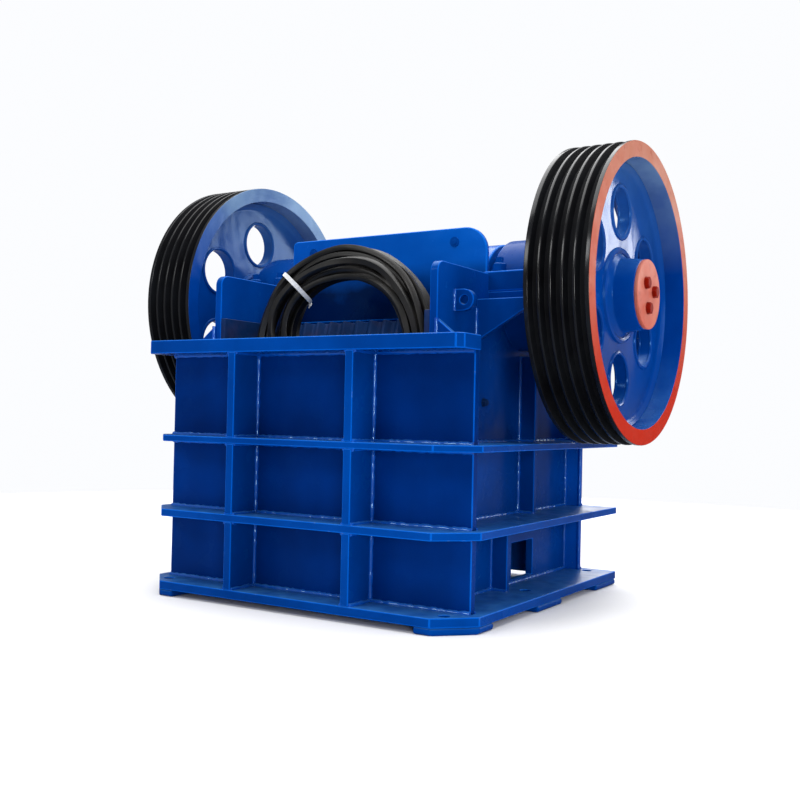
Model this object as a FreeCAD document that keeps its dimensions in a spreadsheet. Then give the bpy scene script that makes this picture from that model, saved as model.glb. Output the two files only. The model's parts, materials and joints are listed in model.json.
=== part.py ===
import FreeCAD, Part
import os
import re

import Sketcher

# A single-toggle jaw crusher on its welded, ribbed steel frame, in millimetres.
#
# +Z is up.  The origin is on the ground, midway between the corner bolt holes of the base flange.
# The feed side faces -Y, the shaft lies along X above the frame, and the wheels are at its two ends.
# Every size and place below is an expression on the cells of the sheet "Sizes".

SIZES = {
    # frame plan
    "frame_depth": 1270,
    "shelf_width": 1310,
    "corner_cut": 110,
    "wall_setback": 125,
    "front_wall_plate": 30,
    "front_wall_width": 1230,
    "back_wall_plate": 28,
    "back_wall_width": 1044,
    "back_setback": 30,
    "inner_width": 864,
    "side_plate": 28,
    # frame levels and plates
    "top_level": 892,
    "top_flange_plate": 46,
    "top_flange_width": 1270,
    "top_corner_cut": 20,
    "upper_shelf_level": 539,
    "upper_shelf_plate": 22,
    "lower_shelf_level": 277,
    "lower_shelf_plate": 26,
    "base_plate": 30,
    "pad_plate": 22,
    "cheek_level": 1136,
    "cheek_setback": 4,
    "cheek_round": 35,
    "rib_spacing": 478,
    "rib_plate": 30,
    "side_rib_reach": 62,
    "side_rib_plate": 22,
    "low_rib_place": -60,
    # holes in the frame
    "foot_bolt_hole": 36,
    "foot_bolt_inset": 95,
    "pad_length": 205,
    "pad_reach": 168,
    "window_length": 180,
    "window_height": 132,
    "window_sill": 64,
    "window_place": 185,
    # shaft, bearings and housings
    "shaft_place": 150,
    "shaft_level": 1075,
    "journal_diameter": 160,
    "wheel_seat_diameter": 150,
    "eccentric_diameter": 190,
    "eccentric_throw": 12,
    "eccentric_length": 760,
    "bearing_diameter": 300,
    "bearing_length": 160,
    "shaft_passage": 230,
    "housing_diameter": 378,
    "housing_reach": 190,
    "cap_diameter": 430,
    "cap_length": 530,
    "cap_ear_height": 72,
    "seat_length": 726,
    "seat_plate": 30,
    "seat_drop": 65,
    "gusset_drop": 111,
    "gusset_plate": 25,
    "bearing_cover_plate": 15,
    "bearing_cover_diameter": 330,
    # wheels
    "wheel_diameter": 1030,
    "wheel_width": 217,
    "wheel_gap": 1396,
    "rim_wall": 55,
    "web_plate": 40,
    "hub_diameter": 238,
    "hub_inner_reach": 20,
    "hub_outer_reach": 3,
    "end_cover_plate": 12,
    "groove_count": 5,
    "groove_pitch": 39,
    "groove_mouth": 30,
    "groove_floor": 16,
    "groove_depth": 24,
    "web_hole_count": 6,
    "web_hole_diameter": 172,
    "web_hole_circle": 578,
    # swing jaw, dies and toggle
    "jaw_width": 800,
    "jaw_head_diameter": 410,
    "jaw_slope": 15.5,
    "jaw_heel": 93,
    "jaw_foot_level": 115,
    "guard_plate": 20,
    "guard_width": 850,
    "guard_top": 1315,
    "guard_foot": 995,
    "guard_round": 90,
    "guard_small_round": 20,
    "die_plate": 55,
    "fixed_die_plate": 60,
    "fixed_die_top": 878,
    "die_width": 796,
    "tooth_pitch": 60,
    "tooth_depth": 22,
    "liner_plate": 20,
    "liner_foot": 150,
    "liner_top": 980,
    "toggle_width": 700,
    "toggle_plate_thickness": 44,
    "toggle_end_diameter": 54,
    "toggle_front_place": -160,
    "toggle_front_level": 320,
    "toggle_back_place": 251,
    "toggle_back_level": 407,
    "seat_block_height": 200,
    "seat_block_depth": 215,
    # tension gear
    "rod_diameter": 36,
    "rod_level": 180,
    "rod_front_place": -120,
    "rod_tail": 52,
    "spring_diameter": 110,
    "spring_length": 190,
    # lifting and stiffening details
    "lug_place": -355,
    "lug_level": 1020,
    "lug_size": 70,
    "lug_plate": 26,
    "lug_hole": 30,
    "cheek_gusset_reach": 75,
    "cheek_gusset_height": 60,
    "cheek_gusset_plate": 20,
    # spare belts laid in the feed opening
    "coil_diameter": 760,
    "coil_bundle": 134,
    "coil_place": 20,
    "coil_level": 855,
    # clearances
    "running_gap": 0.05,
    "fit_gap": 0.2,
    "socket_gap": 0.5,
    "lay_gap": 0.3,
}

doc = FreeCAD.newDocument("jaw_crusher")
sheet = doc.addObject("Spreadsheet::Sheet", "Sizes")
for row, (alias, value) in enumerate(SIZES.items(), start=1):
    sheet.set(f"A{row}", str(value))
    sheet.setAlias(f"A{row}", alias)
doc.recompute()

PIECES = []
WORD = re.compile(r"[a-z]+(?:_[a-z]+)*")


def cell(text):
    """Turn plain size names in an expression into references to the sheet."""
    return WORD.sub(lambda hit: "Sizes." + hit.group() if hit.group() in SIZES else hit.group(), str(text))


def number(text):
    """The present value of an expression, used as a sketch's first guess."""
    value = sheet.evalExpression(cell(text))
    return float(getattr(value, "Value", value))


def bind(item, **links):
    """Bind properties of an object to expressions; x, y and z stand for its place."""
    for name, text in links.items():
        path = f"Placement.Base.{name}" if name in ("x", "y", "z") else name
        item.setExpression(path, cell(text))
    return item


def keep(item, label):
    """Mark an object as a finished piece: its label names its file."""
    item.Label = label
    PIECES.append(item)
    return item


def box(name, x, y, z):
    """A block between two expressions on each axis."""
    item = doc.addObject("Part::Box", name)
    sides = {"Length": x, "Width": y, "Height": z}
    for side, (low, high) in sides.items():
        item.setExpression(side, cell(f"({high}) - ({low})"))
    return bind(item, x=x[0], y=y[0], z=z[0])


TURNS = {
    "x": FreeCAD.Rotation(FreeCAD.Vector(0, 1, 0), 90),
    "y": FreeCAD.Rotation(FreeCAD.Vector(1, 0, 0), -90),
    "z": FreeCAD.Rotation(),
}


def drum(name, along, start, end, across, diameter):
    """A cylinder along one axis from start to end; across gives its two other coordinates."""
    item = doc.addObject("Part::Cylinder", name)
    item.Placement = FreeCAD.Placement(FreeCAD.Vector(), TURNS[along])
    item.setExpression("Radius", cell(f"({diameter}) / 2"))
    item.setExpression("Height", cell(f"({end}) - ({start})"))
    others = [axis for axis in "xyz" if axis != along]
    return bind(item, **{along: start, others[0]: across[0], others[1]: across[1]})


def cut(name, base, *tools):
    """Base less every tool."""
    for count, tool in enumerate(tools, start=1):
        item = doc.addObject("Part::Cut", f"{name}_{count}" if count < len(tools) else name)
        item.Base = base
        item.Tool = tool
        base = item
    return base


def join(name, *parts):
    """Parts that are one casting or one weldment."""
    item = doc.addObject("Part::MultiFuse", name)
    item.Shapes = list(parts)
    item.Refine = True
    return item


def group(name, *parts):
    """Like pieces that share a node without touching."""
    item = doc.addObject("Part::Compound", name)
    item.Links = list(parts)
    return item


def mirrored(name, source):
    """The other hand of a piece, across the machine's middle."""
    item = doc.addObject("Part::Mirroring", name)
    item.Source = source
    item.Normal = FreeCAD.Vector(1, 0, 0)
    return item


def both_sides(label, right):
    """Keep a right-hand piece and its left-hand copy as two nodes."""
    keep(mirrored(f"{label}_left", right), f"{label}_left")
    keep(right, f"{label}_right")


def outline(body, plane, points):
    """A closed sketch through points given as pairs of expressions."""
    sketch = body.newObject("Sketcher::SketchObject", body.Name + "_outline")
    role = {"XY": "XY_Plane", "XZ": "XZ_Plane", "YZ": "YZ_Plane"}[plane]
    support = next(item for item in body.Origin.OriginFeatures if item.Role == role)
    sketch.AttachmentSupport = [(support, "")]
    sketch.MapMode = "FlatFace"
    places = [FreeCAD.Vector(number(u), number(v), 0) for u, v in points]
    ring = range(len(points))
    for index in ring:
        sketch.addGeometry(Part.LineSegment(places[index], places[(index + 1) % len(points)]), False)
    for index in ring:
        sketch.addConstraint(Sketcher.Constraint("Coincident", index, 2, (index + 1) % len(points), 1))
    for index, (place, pair) in enumerate(zip(places, points)):
        for kind, value, text in zip(("DistanceX", "DistanceY"), place, pair):
            link = sketch.addConstraint(Sketcher.Constraint(kind, -1, 1, index, 1, value))
            sketch.setExpression(f"Constraints[{link}]", cell(text))
    return sketch


def plate(name, plane, points, start, end):
    """A plate of any outline, padded from start to end along the plane's normal."""
    body = doc.addObject("PartDesign::Body", name)
    sketch = outline(body, plane, points)
    # the XZ plane's normal is -Y, so its offset counts backwards
    offset = f"-({end})" if plane == "XZ" else start
    sketch.setExpression("AttachmentOffset.Base.z", cell(offset))
    pad = body.newObject("PartDesign::Pad", name + "_pad")
    pad.Profile = sketch
    pad.setExpression("Length", cell(f"({end}) - ({start})"))
    body.Tip = pad
    return body


def arc(centre, radius, first, last, steps=6):
    """Points of a round corner, as expressions, from one angle in degrees to another."""
    turns = [first + (last - first) * step / steps for step in range(steps + 1)]
    return [
        (f"{centre[0]} + ({radius}) * cos({turn} deg)", f"{centre[1]} + ({radius}) * sin({turn} deg)")
        for turn in turns
    ]


# Places that several pieces share.
FRONT = "(-frame_depth / 2)"
BACK = "(frame_depth / 2)"
WALL_FACE = f"({FRONT} + wall_setback)"
WALL_BACK = f"({WALL_FACE} + front_wall_plate)"
REAR_FACE = f"({BACK} - back_setback)"
REAR_INNER = f"({REAR_FACE} - back_wall_plate)"
INNER = "(inner_width / 2)"
OUTER = "(inner_width / 2 + side_plate)"
HALF_SHELF = "(shelf_width / 2)"
SHAFT = ("shaft_place", "shaft_level")
SHELF_ENDS = (
    ("lower_shelf", "lower_shelf_level", "lower_shelf_plate"),
    ("upper_shelf", "upper_shelf_level", "upper_shelf_plate"),
)


# ---------------------------------------------------------------- the welded frame

def shelf_outline(half_width, cut_size, back):
    """Plan of a shelf: square at the back, its two front corners cut at 45 degrees."""
    return [
        (f"-({half_width})", back),
        (f"-({half_width})", f"{FRONT} + {cut_size}"),
        (f"-({half_width}) + {cut_size}", FRONT),
        (f"{half_width} - {cut_size}", FRONT),
        (half_width, f"{FRONT} + {cut_size}"),
        (half_width, back),
    ]


def walls_footprint(name, low, high):
    """What the four walls and the inside take out of a shelf that goes round them."""
    return [
        box(name + "_inside", (f"-{OUTER}", OUTER), (WALL_FACE, REAR_INNER), (low, high)),
        box(name + "_front", ("-front_wall_width / 2", "front_wall_width / 2"), (WALL_FACE, WALL_BACK),
            (low, high)),
        box(name + "_back", ("-back_wall_width / 2", "back_wall_width / 2"), (REAR_INNER, REAR_FACE),
            (low, high)),
    ]


def front_ribs():
    """Two ribs on the front wall, half-lapped with the shelves that cross them."""
    middle = f"({FRONT} + {WALL_FACE}) / 2"
    low = "rib_spacing / 2 - rib_plate / 2"
    high = "rib_spacing / 2 + rib_plate / 2"
    rib = box("rib_blank", (low, high), (FRONT, WALL_FACE),
              ("pad_plate + base_plate", "top_level - top_flange_plate"))
    laps = [
        box(f"rib_lap_{name}", (low, high), (FRONT, middle), (level, f"{level} + {thick}"))
        for name, level, thick in SHELF_ENDS
    ]
    both_sides("front_rib", cut("rib_right", rib, *laps))


def shelves():
    """The two shelves that run right round the frame."""
    middle = f"({FRONT} + {WALL_FACE}) / 2"
    for name, level, thick in SHELF_ENDS:
        top = f"{level} + {thick}"
        blank = plate(name + "_blank", "XY", shelf_outline(HALF_SHELF, "corner_cut", BACK), level, top)
        laps = [
            box(f"{name}_lap_{side}", (f"{sign} rib_spacing / 2 - rib_plate / 2",
                                       f"{sign} rib_spacing / 2 + rib_plate / 2"),
                (middle, WALL_FACE), (level, top))
            for side, sign in (("left", "-"), ("right", ""))
        ]
        keep(cut(name, blank, *walls_footprint(name, level, top), *laps), name)


def base():
    """The base flange with its foot bolt holes, and the pads below it."""
    top = "pad_plate + base_plate"
    blank = plate("base_blank", "XY", shelf_outline(HALF_SHELF, "corner_cut", BACK), "pad_plate", top)
    holes = [
        drum(f"foot_hole_{column}_{row}", "z", "-pad_plate", f"{top} + pad_plate",
             (f"{sign} ({HALF_SHELF} - foot_bolt_inset)", f"{place} (frame_depth - wall_setback) / 2"), "foot_bolt_hole")
        for column, sign in enumerate(("-", ""))
        for row, place in enumerate(("-", "0 *", ""))
    ]
    keep(cut("base_flange", blank, *walls_footprint("base", "pad_plate", top), *holes), "base_flange")

    pads = []
    rows = (
        (FRONT, f"{FRONT} + pad_length"),
        ("-pad_length / 2", "pad_length / 2"),
        (f"{BACK} - pad_length", BACK),
    )
    for column, sign in enumerate((-1, 1)):
        edges = (f"{HALF_SHELF} - pad_reach", HALF_SHELF)
        across = edges if sign > 0 else (f"-({edges[1]})", f"-({edges[0]})")
        for row, along in enumerate(rows):
            pad = box(f"pad_blank_{column}_{row}", across, along, ("0", "pad_plate"))
            tools = [holes[3 * column + row]]
            if row == 0:
                tools.append(corner_waste(f"pad_corner_{column}", sign))
            pads.append(cut(f"pad_{column}_{row}", pad, *tools))
    keep(group("foot_pads", *pads), "foot_pads")


def corner_waste(name, sign):
    """The triangle that a 45 degree corner cut takes off."""
    side = "" if sign > 0 else "-"
    spare = f"({HALF_SHELF} + corner_cut)"
    points = [
        (f"{side} ({HALF_SHELF} - corner_cut * 1.5)", f"{FRONT} - corner_cut / 2"),
        (f"{side} {spare}", f"{FRONT} - corner_cut / 2"),
        (f"{side} {spare}", f"{FRONT} + corner_cut * 2"),
    ]
    return plate(name, "XY", points, "-pad_plate", "pad_plate * 2")


def walls():
    """Front wall, back wall and top flange."""
    keep(box("front_wall", ("-front_wall_width / 2", "front_wall_width / 2"), (WALL_FACE, WALL_BACK),
             ("pad_plate", "top_level")), "front_wall")
    back = box("back_blank", ("-back_wall_width / 2", "back_wall_width / 2"), (REAR_INNER, REAR_FACE),
               ("pad_plate", "top_level"))
    passage = drum("rod_passage", "y", REAR_INNER, REAR_FACE, ("0", "rod_level"), "rod_diameter + 2 * fit_gap")
    keep(cut("back_wall", back, passage), "back_wall")
    points = shelf_outline("top_flange_width / 2", "top_corner_cut", WALL_FACE)
    keep(plate("top_flange", "XY", points, "top_level - top_flange_plate", "top_level"), "top_flange")


def side_plates():
    """The side plates: cheek beside the feed opening, saddle under the bearing, window low down."""
    cheek_front = f"({WALL_BACK} + cheek_setback)"
    saddle_front = "(shaft_place - cap_length / 2 - cheek_round / 3)"
    saddle_back = "(shaft_place + cap_length / 2 + cheek_round)"
    points = [
        (WALL_BACK, "pad_plate"),
        (REAR_INNER, "pad_plate"),
        (REAR_INNER, "top_level"),
        (saddle_back, "shaft_level"),
        (saddle_front, "shaft_level"),
        (saddle_front, "cheek_level"),
        *arc((f"{cheek_front} + cheek_round", "cheek_level - cheek_round"), "cheek_round", 90, 180),
        (cheek_front, "top_level"),
        (WALL_BACK, "top_level"),
    ]
    blank = plate("side_blank", "YZ", points, INNER, OUTER)
    passage = drum("shaft_passage_tool", "x", INNER, OUTER, SHAFT, "shaft_passage")
    window = box("window_tool", (INNER, OUTER),
                 ("window_place - window_length / 2", "window_place + window_length / 2"),
                 ("window_sill", "window_sill + window_height"))
    both_sides("side_plate", cut("side_right", blank, passage, window))


# place along Y, then the levels between which each side rib stands
SIDE_RIBS = (
    ("low_rib_place", "pad_plate + base_plate", "lower_shelf_level"),
    ("shaft_place", "lower_shelf_level + lower_shelf_plate", "upper_shelf_level"),
    ("shaft_place", "upper_shelf_level + upper_shelf_plate",
     "shaft_level - seat_drop - seat_plate - gusset_drop"),
)


def side_rib_blank(name, sign, place, low, high):
    """One upright rib on a side plate."""
    edges = (OUTER, f"{OUTER} + side_rib_reach")
    across = edges if sign == "" else (f"-({edges[1]})", f"-({edges[0]})")
    return box(name, across, (f"{place} - side_rib_plate / 2", f"{place} + side_rib_plate / 2"), (low, high))


def side_ribs():
    """The short ribs between base, shelves and bearing seat, on each side."""
    ribs = [side_rib_blank(f"side_rib_{count}", "", *spec) for count, spec in enumerate(SIDE_RIBS)]
    both_sides("side_ribs", group("side_ribs_set", *ribs))


def cheek_details():
    """Gussets at the foot of the cheeks, and a lifting lug on each cheek's outer face."""
    gusset_back = f"({WALL_BACK} + cheek_setback + cheek_gusset_plate)"
    gusset = plate("cheek_gusset", "XZ", [
        (OUTER, "top_level - cheek_gusset_height"),
        (f"{OUTER} + cheek_gusset_reach", "top_level - cheek_gusset_height"),
        (f"{OUTER} + cheek_gusset_reach", "top_level"),
        (OUTER, "top_level + cheek_gusset_height"),
    ], f"{WALL_BACK}", gusset_back)
    both_sides("cheek_gusset", gusset)
    half = "(lug_size / 2)"
    blank = plate("lug_blank", "XZ", [
        (OUTER, f"lug_level - {half}"),
        (f"{OUTER} + {half}", f"lug_level - {half}"),
        *arc((f"{OUTER} + {half}", "lug_level"), half, -60, 60),
        (f"{OUTER} + {half}", f"lug_level + {half}"),
        (OUTER, f"lug_level + {half}"),
    ], "lug_place - lug_plate / 2", "lug_place + lug_plate / 2")
    hole = drum("lug_hole_tool", "y", "lug_place - lug_plate", "lug_place + lug_plate",
                (f"{OUTER} + {half}", "lug_level"), "lug_hole")
    both_sides("lifting_lug", cut("lug_right", blank, hole))


# ---------------------------------------------------------------- bearings

HOUSING_END = f"({OUTER} + housing_reach)"
BEARING_START = f"({OUTER} + (housing_reach - bearing_length) / 2)"
SEAT_TOP = "(shaft_level - seat_drop + seat_plate)"


def bearing_housings():
    """A seat welded to each side plate, with its plate and gussets, and the cap bolted over it."""
    bore = drum("seat_bore", "x", f"{OUTER} - side_plate", HOUSING_END, SHAFT, "bearing_diameter + 2 * fit_gap")
    round_part = drum("seat_round", "x", OUTER, HOUSING_END, SHAFT, "housing_diameter")
    upper = box("seat_upper", (OUTER, HOUSING_END),
                ("shaft_place - housing_diameter", "shaft_place + housing_diameter"),
                ("shaft_level", "shaft_level + housing_diameter"))
    lower_round = cut("seat_lower_round", round_part, upper)
    ears = box("seat_ears", (OUTER, HOUSING_END), ("shaft_place - cap_length / 2", "shaft_place + cap_length / 2"),
               ("shaft_level - seat_drop", "shaft_level"))
    shelf = box("seat_shelf", (OUTER, HOUSING_END),
                ("shaft_place - seat_length / 2", "shaft_place + seat_length / 2"),
                ("shaft_level - seat_drop", SEAT_TOP))
    gusset_ends = (
        ("shaft_place - seat_length / 2", "shaft_place - seat_length / 2 + gusset_plate"),
        ("shaft_place + seat_length / 2 - gusset_plate", "shaft_place + seat_length / 2"),
    )
    gussets = [
        plate(f"seat_gusset_{count}", "XZ", [
            (OUTER, "shaft_level - seat_drop - gusset_drop"),
            (HOUSING_END, "shaft_level - seat_drop"),
            (OUTER, "shaft_level - seat_drop"),
        ], start, end)
        for count, (start, end) in enumerate(gusset_ends)
    ]
    whole = join("seat_whole", lower_round, ears, shelf, *gussets)
    both_sides("bearing_seat", cut("seat_right", whole, bore))

    dome = drum("cap_dome", "x", INNER, HOUSING_END, SHAFT, "cap_diameter")
    cap_ears = box("cap_ears", (INNER, HOUSING_END),
                   ("shaft_place - cap_length / 2", "shaft_place + cap_length / 2"),
                   ("shaft_level", "shaft_level + cap_ear_height"))
    below = box("cap_below", (INNER, HOUSING_END),
                ("shaft_place - housing_diameter", "shaft_place + housing_diameter"),
                ("shaft_level - housing_diameter", "shaft_level"))
    cap_bore = drum("cap_bore", "x", INNER, HOUSING_END, SHAFT, "bearing_diameter + 2 * fit_gap")
    both_sides("bearing_cap", cut("cap_right", join("cap_whole", dome, cap_ears), below, cap_bore))

    ring = drum("bearing_blank", "x", BEARING_START, f"{BEARING_START} + bearing_length", SHAFT,
                "bearing_diameter")
    hole = drum("bearing_hole", "x", BEARING_START, f"{BEARING_START} + bearing_length", SHAFT,
                "journal_diameter + 2 * running_gap")
    both_sides("bearing", cut("bearing_right_ring", ring, hole))

    cover = drum("cover_blank", "x", HOUSING_END, f"{HOUSING_END} + bearing_cover_plate", SHAFT,
                 "bearing_cover_diameter")
    cover_hole = drum("cover_hole", "x", HOUSING_END, f"{HOUSING_END} + bearing_cover_plate", SHAFT,
                      "journal_diameter + 4 * socket_gap")
    both_sides("bearing_cover", cut("cover_right", cover, cover_hole))


# ---------------------------------------------------------------- rotor

WHEEL_START = "(wheel_gap / 2)"
WHEEL_END = "(wheel_gap / 2 + wheel_width)"
COVER_START = f"({WHEEL_END} + hub_outer_reach)"


def rim_section():
    """Half section of a grooved rim: distance from the wheel's inner face, then radius."""
    rim = "wheel_diameter / 2"
    first = "(wheel_width / 2 - groove_pitch * (groove_count - 1) / 2)"
    points = [("0", f"{rim} - rim_wall"), ("0", rim)]
    for count in range(int(SIZES["groove_count"])):
        middle = f"({first} + groove_pitch * {count})"
        points += [
            (f"{middle} - groove_mouth / 2", rim),
            (f"{middle} - groove_floor / 2", f"{rim} - groove_depth"),
            (f"{middle} + groove_floor / 2", f"{rim} - groove_depth"),
            (f"{middle} + groove_mouth / 2", rim),
        ]
    return points + [("wheel_width", rim), ("wheel_width", f"{rim} - rim_wall")]


def web_section():
    """Half section of a wheel's web and hub, thickened where it meets each of them."""
    low = "(wheel_width / 2 - web_plate / 2)"
    high = "(wheel_width / 2 + web_plate / 2)"
    edge = "(wheel_diameter / 2 - rim_wall)"
    hub = "hub_diameter / 2"
    shoulder = "web_plate / 2"
    bore = "wheel_seat_diameter / 2 + running_gap"
    return [
        (f"{low} - {shoulder}", edge),
        (f"{high} + {shoulder}", edge),
        (high, f"{edge} - {shoulder} * 1.5"),
        (high, f"{hub} + {shoulder} * 1.5"),
        (f"{high} + {shoulder}", f"{hub} + {shoulder} / 2"),
        ("wheel_width + hub_outer_reach", hub),
        ("wheel_width + hub_outer_reach", bore),
        ("-hub_inner_reach", bore),
        ("-hub_inner_reach", hub),
        (f"{low} - {shoulder}", f"{hub} + {shoulder} / 2"),
        (low, f"{hub} + {shoulder} * 1.5"),
        (low, f"{edge} - {shoulder} * 1.5"),
    ]


def turned_about_shaft(name, section):
    """A solid turned about the shaft from its half section."""
    body = doc.addObject("PartDesign::Body", f"{name}_blank")
    sketch = outline(body, "XZ", section)
    turned = body.newObject("PartDesign::Revolution", f"{name}_turned")
    turned.Profile = sketch
    turned.ReferenceAxis = (sketch, ["H_Axis"])
    turned.Angle = 360
    body.Tip = turned
    bind(body, x=WHEEL_START, y="shaft_place", z="shaft_level")
    return body


def wheels():
    """Two grooved wheels: rim, web with its holes, and end cover, each mirrored across."""
    both_sides("wheel_rim", turned_about_shaft("rim", rim_section()))
    holes = []
    count = int(SIZES["web_hole_count"])
    for index in range(count):
        turn = f"({90 + 360 * index / count} deg)"
        holes.append(drum(f"web_hole_{index}", "x", WHEEL_START, WHEEL_END,
                          (f"shaft_place + web_hole_circle / 2 * cos{turn}",
                           f"shaft_level + web_hole_circle / 2 * sin{turn}"), "web_hole_diameter"))
    both_sides("wheel_web", cut("web_right", turned_about_shaft("web", web_section()), *holes))
    both_sides("end_cover", drum("cover_disc", "x", COVER_START, f"{COVER_START} + end_cover_plate", SHAFT,
                                 "hub_diameter"))


def shaft():
    """The eccentric shaft: wheel seats, journals, and the thrown middle that drives the jaw."""
    journal_end = f"({WHEEL_START} - hub_inner_reach - running_gap)"
    seats = drum("shaft_seats", "x", f"-({COVER_START})", COVER_START, SHAFT, "wheel_seat_diameter")
    journals = drum("shaft_journals", "x", f"-{journal_end}", journal_end, SHAFT, "journal_diameter")
    thrown = drum("shaft_eccentric", "x", "-eccentric_length / 2", "eccentric_length / 2",
                  ("shaft_place", "shaft_level - eccentric_throw"), "eccentric_diameter")
    keep(join("eccentric_shaft", seats, journals, thrown), "eccentric_shaft")


# ---------------------------------------------------------------- swing jaw, dies, toggle

HEAD_FRONT = "(shaft_place - jaw_head_diameter / 2)"
HEAD_BACK = "(shaft_place + jaw_head_diameter / 2)"
JAW_FOOT = f"({HEAD_FRONT} - (guard_foot - jaw_foot_level) * tan(jaw_slope * 1 deg))"
GROOVE_FACE = "(toggle_front_place - 4 * socket_gap)"
SOCKET = "toggle_end_diameter + 2 * socket_gap"


def swing_jaw():
    """Head bored for the eccentric, blade down to the toggle's seat."""
    half = "jaw_width / 2"
    head = drum("jaw_head", "x", f"-{half}", half, SHAFT, "jaw_head_diameter")
    lug = "toggle_end_diameter * 1.4"
    blade = plate("jaw_blade", "YZ", [
        (HEAD_FRONT, "shaft_level"),
        (HEAD_FRONT, "guard_foot"),
        (JAW_FOOT, "jaw_foot_level"),
        (f"{JAW_FOOT} + jaw_heel", "jaw_foot_level"),
        (GROOVE_FACE, f"toggle_front_level - {lug}"),
        (GROOVE_FACE, f"toggle_front_level + {lug}"),
        (f"{GROOVE_FACE} + jaw_heel", f"toggle_front_level + {lug} + jaw_heel"),
        (HEAD_BACK, "guard_foot"),
        (HEAD_BACK, "shaft_level"),
    ], f"-{half}", half)
    bore = drum("jaw_bore", "x", f"-{half}", half, SHAFT,
                "eccentric_diameter + 2 * eccentric_throw + 28 * socket_gap")
    socket = drum("jaw_socket", "x", f"-{half}", half, ("toggle_front_place", "toggle_front_level"), SOCKET)
    keep(cut("swing_jaw", join("jaw_whole", head, blade), bore, socket), "swing_jaw")


def head_guard():
    """The plate on the front of the head, one upper corner well rounded."""
    half = "guard_width / 2"
    points = [
        (f"-{half}", "guard_foot"),
        (half, "guard_foot"),
        *arc((f"{half} - guard_round", "guard_top - guard_round"), "guard_round", 0, 90, 9),
        *arc((f"-{half} + guard_small_round", "guard_top - guard_small_round"), "guard_small_round", 90, 180),
    ]
    keep(plate("head_guard", "XZ", points, f"{HEAD_FRONT} - guard_plate", HEAD_FRONT), "head_guard")


def toothed_outline(thickness):
    """Plan of a jaw die, flat at y = 0 and corrugated on the side away from it."""
    count = int(SIZES["die_width"] // SIZES["tooth_pitch"])
    half = "die_width / 2"
    points = [(half, "0"), (half, thickness)]
    for index in range(count):
        middle = f"(tooth_pitch * {(count - 1) / 2 - index})"
        points += [
            (f"{middle} + tooth_pitch * 0.42", thickness),
            (f"{middle} + tooth_pitch * 0.12", f"{thickness} - tooth_depth"),
            (f"{middle} - tooth_pitch * 0.12", f"{thickness} - tooth_depth"),
            (f"{middle} - tooth_pitch * 0.42", thickness),
        ]
    return points + [(f"-{half}", thickness), (f"-{half}", "0")]


def dies():
    """The corrugated dies on the front wall and on the swing jaw, and the plain side liners."""
    fixed = plate("fixed_jaw_die", "XY", toothed_outline("fixed_die_plate"), "jaw_foot_level", "fixed_die_top")
    bind(fixed, y=WALL_BACK)
    keep(fixed, "fixed_jaw_die")

    # its square top end stays under the guard plate
    top = "(guard_foot - die_plate * sin(jaw_slope * 1 deg))"
    length = f"({top} - jaw_foot_level) / cos(jaw_slope * 1 deg)"
    moving = plate("swing_jaw_die", "XY", toothed_outline("die_plate"), "0", length)
    # turned half round to face the feed side, then leaned back with the jaw
    moving.Placement = FreeCAD.Placement(FreeCAD.Vector(), FreeCAD.Rotation(FreeCAD.Vector(1, 0, 0), 1))
    moving.setExpression("Placement.Rotation.Angle", cell("180 - jaw_slope"))
    bind(moving, y=f"{HEAD_FRONT} - running_gap - (guard_foot - {top}) * tan(jaw_slope * 1 deg)", z=top)
    keep(moving, "swing_jaw_die")

    points = [
        (WALL_BACK, "liner_foot"),
        (f"{WALL_BACK} + fixed_die_plate * 3", "liner_foot"),
        (HEAD_FRONT, "liner_top"),
        (f"{WALL_BACK} + cheek_setback", "liner_top"),
        (f"{WALL_BACK} + cheek_setback", "top_level"),
        (WALL_BACK, "top_level"),
    ]
    both_sides("cheek_liner", plate("liner_blank", "YZ", points, f"{INNER} - liner_plate", INNER))


def toggle():
    """The toggle plate, the block that it pushes on, and the shims behind the block."""
    half = "toggle_width / 2"
    rise = "(toggle_back_level - toggle_front_level)"
    run = "(toggle_back_place - toggle_front_place)"
    lean = f"atan2({rise}; {run})"
    thick = "toggle_plate_thickness / 2"
    corners = [
        (f"{place} {side} {thick} * sin({lean})", f"{level} {other} {thick} * cos({lean})")
        for place, level, side, other in (
            ("toggle_front_place", "toggle_front_level", "+", "-"),
            ("toggle_back_place", "toggle_back_level", "+", "-"),
            ("toggle_back_place", "toggle_back_level", "-", "+"),
            ("toggle_front_place", "toggle_front_level", "-", "+"),
        )
    ]
    web = plate("toggle_web", "YZ", corners, f"-{half}", half)
    ends = [
        drum(f"toggle_end_{name}", "x", f"-{half}", half, place, "toggle_end_diameter")
        for name, place in (("front", ("toggle_front_place", "toggle_front_level")),
                            ("back", ("toggle_back_place", "toggle_back_level")))
    ]
    keep(join("toggle_plate", web, *ends), "toggle_plate")

    seat_front = "(toggle_back_place + 4 * socket_gap)"
    seat_back = f"({seat_front} + seat_block_depth)"
    low = "(toggle_back_level - seat_block_height / 2)"
    high = "(toggle_back_level + seat_block_height / 2)"
    block = box("adjusting_blank", (f"-{INNER}", INNER), (seat_front, seat_back), (low, high))
    socket = drum("adjusting_socket", "x", f"-{INNER}", INNER, ("toggle_back_place", "toggle_back_level"), SOCKET)
    keep(cut("adjusting_seat", block, socket), "adjusting_seat")
    keep(box("shim_pack", (f"-{half}", half), (seat_back, REAR_INNER), (low, high)), "shim_pack")


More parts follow.
